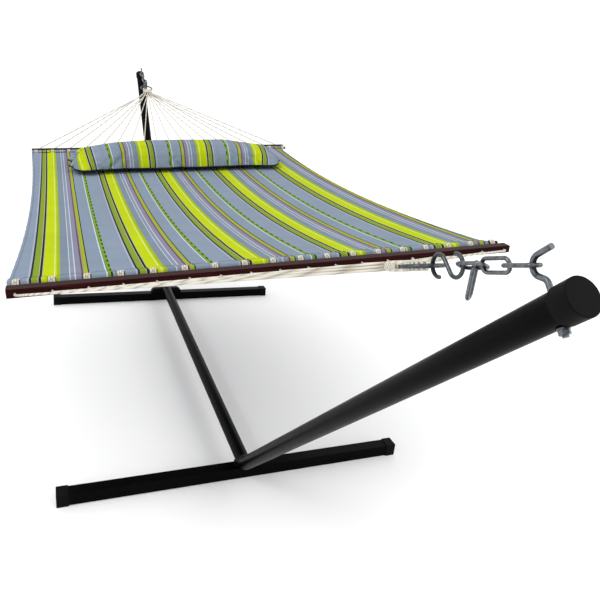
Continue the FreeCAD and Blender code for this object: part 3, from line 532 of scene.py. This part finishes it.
def hem_section():
    """Outer and inner outline of the hem round its dowel, as (towards the bed, up)."""
    outer, inner = [], []
    count = 28
    tail = BED_THICKNESS / 2
    bore = DOWEL_RADIUS + 0.0005
    for index in range(count):
        angle = math.radians(18) + math.radians(324) * index / (count - 1)
        outer.append((HEM_RADIUS * math.cos(angle), HEM_RADIUS * math.sin(angle)))
        inner.append((bore * math.cos(angle), bore * math.sin(angle)))
    outer[0], outer[-1] = (HEM_RUN, tail), (HEM_RUN, -tail)
    outer[1:4] = [(HEM_RUN * 0.72, tail * 1.05), (0.0125, 0.0066), (0.0080, 0.0082)]
    outer[-4:-1] = [(0.0080, -0.0082), (0.0125, -0.0066), (HEM_RUN * 0.72, -tail * 1.05)]
    return outer, inner


def make_hem(end, stripes):
    """Cloth turned round the dowel and sewn down, open at the notches where the ropes come in."""
    outer, inner = hem_section()
    right, left = BED_SHIFT - HEM_WIDTH / 2, BED_SHIFT + HEM_WIDTH / 2
    edges = [right]
    for offset in hole_offsets():
        edges += [offset - HEM_NOTCH / 2, offset + HEM_NOTCH / 2]
    edges = [min(max(edge, right), left) for edge in [*edges, left]]
    shortest = 0.004
    spans = [(low, high) for low, high in zip(edges[::2], edges[1::2]) if high - low > shortest]
    parts = []
    for low, high in spans:
        points, faces = [], []
        steps = 7
        for step in range(steps + 1):
            share = step / steps
            pinch = 1 - 0.10 * abs(2 * share - 1) ** 6
            y = low + (high - low) * share
            for outline, scale in ((outer, pinch), (inner, 1.0)):
                for towards, up in outline:
                    shift = Vector((-ENDS[end] * towards * scale, y, up * scale))
                    points.append(DOWEL[end] + shift)
        ring = len(outer) + len(inner)
        for step in range(steps):
            for shell, reverse in ((0, False), (len(outer), True)):
                for index in range(len(outer) - 1):
                    a = step * ring + shell + index
                    quad = [a, a + 1, a + 1 + ring, a + ring]
                    faces.append(quad[::-1] if reverse else quad)
            for corner in (0, len(outer) - 1):
                a = step * ring + corner
                b = step * ring + len(outer) + corner
                faces.append([a, a + ring, b + ring, b])
        for step in (0, steps):
            for index in range(len(outer) - 1):
                a = step * ring + index
                b = step * ring + len(outer) + index
                faces.append([a, a + 1, b + 1, b])
        parts.append((points, faces, [stripe_uv(point) for point in points]))
    points, faces, uvs = joined(parts)
    hem = mesh_object(end + "_hem", rolled(points), faces, [stripes], uvs=uvs)
    tidy_normals(hem)
    return hem


def tidy_normals(thing):
    work = bmesh.new()
    work.from_mesh(thing.data)
    bmesh.ops.recalc_face_normals(work, faces=work.faces)
    work.to_mesh(thing.data)
    work.free()


def make_binding(side, cloth):
    """The top cloth folded over one long edge of the bed and sewn down."""
    steps = 140
    start, stop = DOWEL["rear"].x + HEM_RUN * 0.6, DOWEL["front"].x - HEM_RUN * 0.6
    section = [(-0.0070, 0.0040), (-0.0050, 0.0049), (-0.0015, 0.0048)]
    section += [(0.0008, 0.0030), (0.0013, 0.0)]
    section += [(across, -up) for across, up in reversed(section[:-1])]
    points, faces = [], []
    for step in range(steps + 1):
        x = start + (stop - start) * step / steps
        edge = bed_point(x, side)
        pucker = 0.0004 * math.sin(step * 2.1) + 0.0003 * math.sin(step * 5.3)
        for across, up in section:
            points.append(edge + Vector((0, side * (across + pucker), up * (1 + 40 * pucker))))
    count = len(section)
    for step in range(steps):
        for index in range(count):
            a, b = step * count + index, step * count + (index + 1) % count
            faces.append([a, b, b + count, a + count])
    faces += [list(range(count)), [steps * count + index for index in range(count)]]
    name = "bed_binding_left" if side > 0 else "bed_binding_right"
    uvs = [stripe_uv(point) for point in points]
    binding = mesh_object(name, rolled(points), faces, [cloth], uvs=uvs)
    tidy_normals(binding)
    return binding


# ---------------------------------------------------------------- ropes and clews


class Clew:
    """The line of pull of one end: distances along it start at the ring's centre."""

    def __init__(self, end):
        self.end, self.sign = end, ENDS[end]
        self.centre = middle(end + "_ring")
        self.along = (BAR[end] - self.centre).normalized()
        self.up = Vector((self.along.z * self.sign, 0, -self.along.x * self.sign))
        if self.up.z < 0:
            self.up.negate()
        self.rope_start = RING_RADIUS - KNOT_INSET + KNOT_LENGTH

    def point(self, distance, across=0.0, up=0.0):
        return self.centre + self.along * distance + Vector((0, across, 0)) + self.up * up


COLUMNS = ROPE_COUNT // ROPE_ROWS


def rope_place(number):
    """Where a rope leaves the whipping: (across, up)."""
    column, row = divmod(number, ROPE_ROWS)
    return (column - (COLUMNS - 1) / 2) * CLEW_COLUMN_PITCH, (row - 1) * CLEW_ROW_PITCH


def make_ropes(clew, cotton):
    """One cord per hole: from the whipping to the bar's outer face, through it, to the dowel."""
    for number, offset in enumerate(hole_offsets()):
        across, up = rope_place(number)
        start = clew.point(clew.rope_start, across, up)
        hole = BAR[clew.end] + Vector((0, offset, 0))
        reach = Vector((clew.sign, 0, 0))
        corner = ROLL @ (hole + reach * (BAR_DEPTH / 2 + 0.009))
        stop = ROLL @ (hole - reach * (DOWEL_OFFSET - DOWEL_RADIUS - 0.0003))
        before = corner + (start - corner).normalized() * 0.030
        after = corner + (stop - corner).normalized() * 0.010
        route = [start, before, corner, after, stop]
        line = bpy.data.curves.new(f"{clew.end}_rope_{number + 1}", "CURVE")
        line.dimensions, line.bevel_depth, line.bevel_resolution = "3D", ROPE_RADIUS, 3
        line.resolution_u, line.use_fill_caps = 8, True
        spline = line.splines.new("NURBS")
        spline.points.add(len(route) - 1)
        for control, place in zip(spline.points, route):
            control.co = (*place, 1.0)
        spline.order_u, spline.use_endpoint_u = 3, True
        line.materials.append(cotton)
        rope = add_object(line.name, line)
        ride(rope)
        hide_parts(clew.end + "_clew_ropes")


def rope_loop(clew, across):
    """A rope turned round the ring: up over it, round inside it and back underneath."""
    wire = math.sqrt(RING_RADIUS**2 - across**2)
    bend = RING_WIRE + ROPE_RADIUS + 0.0004
    bundled, tail = 0.0058, clew.rope_start - 0.004
    path = [clew.point(tail, across, CLEW_ROW_PITCH)]
    path += [clew.point(distance, across, bundled) for distance in (0.068, 0.056, 0.046)]
    for step in range(13):
        angle = math.radians(90 + 180 * step / 12)
        path.append(clew.point(wire + bend * math.cos(angle), across, bend * math.sin(angle)))
    path += [clew.point(distance, across, -bundled) for distance in (0.046, 0.056, 0.068)]
    path.append(clew.point(tail, across, -CLEW_ROW_PITCH))
    return tube(path, ROPE_RADIUS, 10)


def make_loops(clew, cotton):
    """Two rows of rope turned round the ring, and the middle row's ends between them."""
    columns = [rope_place(ROPE_ROWS * column)[0] for column in range(COLUMNS)]
    parts = [rope_loop(clew, across) for across in columns]
    for across in columns:
        ends = [clew.point(distance, across, 0.0) for distance in (0.044, 0.06, 0.0815)]
        parts.append(tube(ends, ROPE_RADIUS, 10))
    points, faces, uvs = joined(parts)
    return mesh_object(clew.end + "_clew_loops", points, faces, [cotton], uvs=uvs)


def make_whipping(clew, cotton):
    """Thin cord wound tightly round the bundle."""
    radius = 0.0011
    turns, steps = 15, 44
    first_turn, turn_pitch = 0.0455, 0.00232
    half_width, half_height = 0.0236, 0.0082
    squareness = 0.55
    path = []
    for step in range(turns * steps + 1):
        angle = 2 * math.pi * step / steps
        wobble = 0.0002 * math.sin(step * 0.37)
        cos, sin = math.cos(angle), math.sin(angle)
        across = math.copysign(abs(cos) ** squareness, cos) * (half_width + wobble)
        up = math.copysign(abs(sin) ** squareness, sin) * (half_height + wobble)
        path.append(clew.point(first_turn + turn_pitch * step / steps, across, up))
    points, faces, uvs = tube(path, radius, 8)
    return mesh_object(clew.end + "_whipping", points, faces, [cotton], uvs=uvs)


def make_hem_loops(end, cotton):
    """Each rope's end turned round the dowel in its notch, side by side."""
    parts = []
    radius = DOWEL_RADIUS + ROPE_RADIUS + 0.0002
    turns, steps, reach = 2.5, 55, 0.0062
    for offset in hole_offsets():
        centre = DOWEL[end] + Vector((0, offset, 0))
        path = []
        for step in range(steps + 1):
            angle = 2 * math.pi * turns * step / steps
            along = -reach + 2 * reach * step / steps
            outward = ENDS[end] * radius * math.cos(angle)
            path.append(centre + Vector((outward, along, radius * math.sin(angle))))
        parts.append(tube(path, ROPE_RADIUS, 8))
    points, faces, uvs = joined(parts)
    return mesh_object(end + "_hem_loops", rolled(points), faces, [cotton], uvs=uvs)


# ---------------------------------------------------------------- pillow

PILLOW_LENGTH, PILLOW_DEPTH = 0.955, 0.290
PILLOW_RISE, PILLOW_SEAM, UNDERSIDE = 0.099, 0.020, 0.15
PILLOW_X = -0.505
PILLOW_STRIPE_START, PILLOW_STRIPE_Y = 0.177, 0.164
FILL_FRAMES = 32


def pillow_blank():
    """Two panels sewn together all round, flat but for a slight crown. Striped side up."""
    columns, rows = 132, 48
    length, width = 1.000, 0.372
    taper_start, taper_run, crown_height = 0.84, 0.16, 0.035
    points, uvs, index_of = [], [], {}
    for layer in (1, -1):
        for column in range(columns + 1):
            y = length * (column / columns - 0.5)
            end = abs(2 * y / length)
            taper = 0.50 + 0.50 * (1 - max(0.0, (end - taper_start) / taper_run) ** 2)
            for row in range(rows + 1):
                across = 2 * row / rows - 1
                on_seam = row in (0, rows) or column in (0, columns)
                if on_seam and layer < 0:
                    index_of[layer, column, row] = index_of[1, column, row]
                    continue
                index_of[layer, column, row] = len(points)
                crown = crown_height * (1 - across**2) * (1 - end**4)
                points.append(Vector((across * width / 2 * taper, y, layer * crown)))
                repeats = PILLOW_STRIPE_START - (y + PILLOW_STRIPE_Y) / STRIPE_REPEAT
                uvs.append((repeats, across * width / 2))
    faces, materials = [], []
    for layer in (1, -1):
        for column in range(columns):
            for row in range(rows):
                corners = ((0, 0), (0, 1), (1, 1), (1, 0))
                face = [index_of[layer, column + on, row + up] for on, up in corners]
                faces.append(face if layer > 0 else face[::-1])
                materials.append(0 if layer > 0 else 1)
    return points, faces, materials, uvs


def inflate(pillow):
    """Fills the sewn panels with air by cloth simulation and keeps the shape they take."""
    scene = bpy.context.scene
    scene.frame_start, scene.frame_end = 1, 40
    cloth = pillow.modifiers.new("fill", "CLOTH")
    settings = cloth.settings
    settings.quality, settings.mass, settings.air_damping = 7, 0.25, 4.0
    settings.tension_stiffness = settings.compression_stiffness = 22.0
    settings.shear_stiffness, settings.bending_stiffness = 6.0, 0.35
    settings.use_pressure, settings.uniform_pressure_force = True, 5.5
    settings.effector_weights.gravity = 0.0
    cloth.collision_settings.use_collision = False
    cloth.point_cache.frame_start, cloth.point_cache.frame_end = 1, 40
    for number in range(1, FILL_FRAMES + 1):
        scene.frame_set(number)
    shape = pillow.evaluated_get(bpy.context.evaluated_depsgraph_get())
    filled = [vertex.co.copy() for vertex in shape.data.vertices]
    pillow.modifiers.remove(cloth)
    scene.frame_set(1)
    for vertex, place in zip(pillow.data.vertices, filled):
        vertex.co = place


def settle(pillow):
    """Scales the filled shape to the pillow's size and flattens its underside on the bed."""
    places = [vertex.co for vertex in pillow.data.vertices]
    lows = [min(place[axis] for place in places) for axis in range(3)]
    highs = [max(place[axis] for place in places) for axis in range(3)]
    spans = [high - low for low, high in zip(lows, highs)]
    centres = [(high + low) / 2 for low, high in zip(lows, highs)]
    for vertex in pillow.data.vertices:
        x, y, z = (
            (vertex.co[axis] - centres[axis]) * size / spans[axis]
            for axis, size in enumerate((PILLOW_DEPTH, PILLOW_LENGTH, 2 * PILLOW_RISE))
        )
        x += PILLOW_X
        across = (y - BED_SHIFT) / (HEM_WIDTH / 2)
        seam = bed_point(x, across, BED_THICKNESS / 2 + PILLOW_SEAM).z
        level = seam + (z if z > 0 else z * UNDERSIDE)
        vertex.co = ROLL @ Vector((x, y, level))
    pillow.data.update()


def make_pillow(stripes, navy):
    points, faces, materials, uvs = pillow_blank()
    # The navy lower panel, squashed to a thin band just above the bed, is partly the pillow's real
    # navy back and partly painted shade: its dark band stands in for the shadow under the pillow.
    pillow = mesh_object("bolster_pillow", points, faces, [stripes, navy], materials, uvs)
    inflate(pillow)
    settle(pillow)
    return pillow


def make_piping(pillow, navy):
    """The welt sewn into the pillow's seam, along the edge between its two panels."""
    sides = {}
    for face in pillow.data.polygons:
        for edge in face.edge_keys:
            sides.setdefault(edge, set()).add(face.material_index)
    neighbours = {}
    for (first, second), panels in sides.items():
        if len(panels) == 2:
            neighbours.setdefault(first, []).append(second)
            neighbours.setdefault(second, []).append(first)
    start = min(neighbours)
    loop, previous = [start], None
    while True:
        beside = [vertex for vertex in neighbours[loop[-1]] if vertex != previous]
        following = [vertex for vertex in beside if vertex != start or len(loop) > 2]
        previous = loop[-1]
        if not following or following[0] == start:
            break
        loop.append(following[0])
    path = [pillow.data.vertices[index].co.copy() for index in loop]
    # The navy welt is partly real piping and partly painted shade: it darkens the band under the
    # pillow where its shadow falls.
    radius = 0.0028
    points, faces, uvs = tube(path, radius, 8, closed=True)
    return mesh_object("pillow_piping", points, faces, [navy], uvs=uvs)


# ---------------------------------------------------------------- assembly

make_camera()
make_studio()

FINISHES = {
    "black_steel": coated_steel(),
    "black_plastic": moulded_plastic(),
    "zinc_steel": plated_steel("zinc_plating", colour(62, 66, 70), colour(118, 122, 126), 0.40),
    "dark_steel": plated_steel("dark_plating", colour(44, 48, 51), colour(90, 95, 96), 0.42),
    "dark_wood": varnished_wood(),
}
SLOT_OF = {entry["node"]: entry["material_slot"] for entry in frame["record"]["subparts"]}
for name, node in frame["nodes"].items():
    finish = FINISHES.get(SLOT_OF[name])
    if finish:
        for place in node.material_slots:
            place.material = finish

BED_STRIPES = striped_cloth(
    "striped_bed_cloth", STRIPE_REPEAT / 2, QUILT_PITCH, 0.06, hem=HEM_STITCH
)
PILLOW_STRIPES = striped_cloth("striped_pillow_cloth", 0.072, 0.064, 0.16)
NAVY = plain_cloth("navy_cloth", colour(20, 26, 38), colour(40, 48, 66))
COTTON = cotton_rope("laid_cotton_rope", 60.0)
LOOP_COTTON = cotton_rope("cotton_loops", 12.0)
TWINE = cotton_rope("whipping_twine", 260.0)

bed = make_bed(BED_STRIPES, NAVY)
hems = [make_hem(end, BED_STRIPES) for end in ENDS]
bindings = [make_binding(side, BED_STRIPES) for side in (1, -1)]
for piece in [bed, *hems, *bindings]:
    ride(piece)
    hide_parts("bed")

for end in ENDS:
    clew = Clew(end)
    make_ropes(clew, COTTON)
    for piece in (make_loops(clew, LOOP_COTTON), make_whipping(clew, TWINE)):
        ride(piece)
        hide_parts(end + "_clew_knot")
    ride(make_hem_loops(end, LOOP_COTTON))

pillow = make_pillow(PILLOW_STRIPES, NAVY)
piping = make_piping(pillow, NAVY)
for piece in (pillow, piping):
    ride(piece, "cushion")
    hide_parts("pillow")
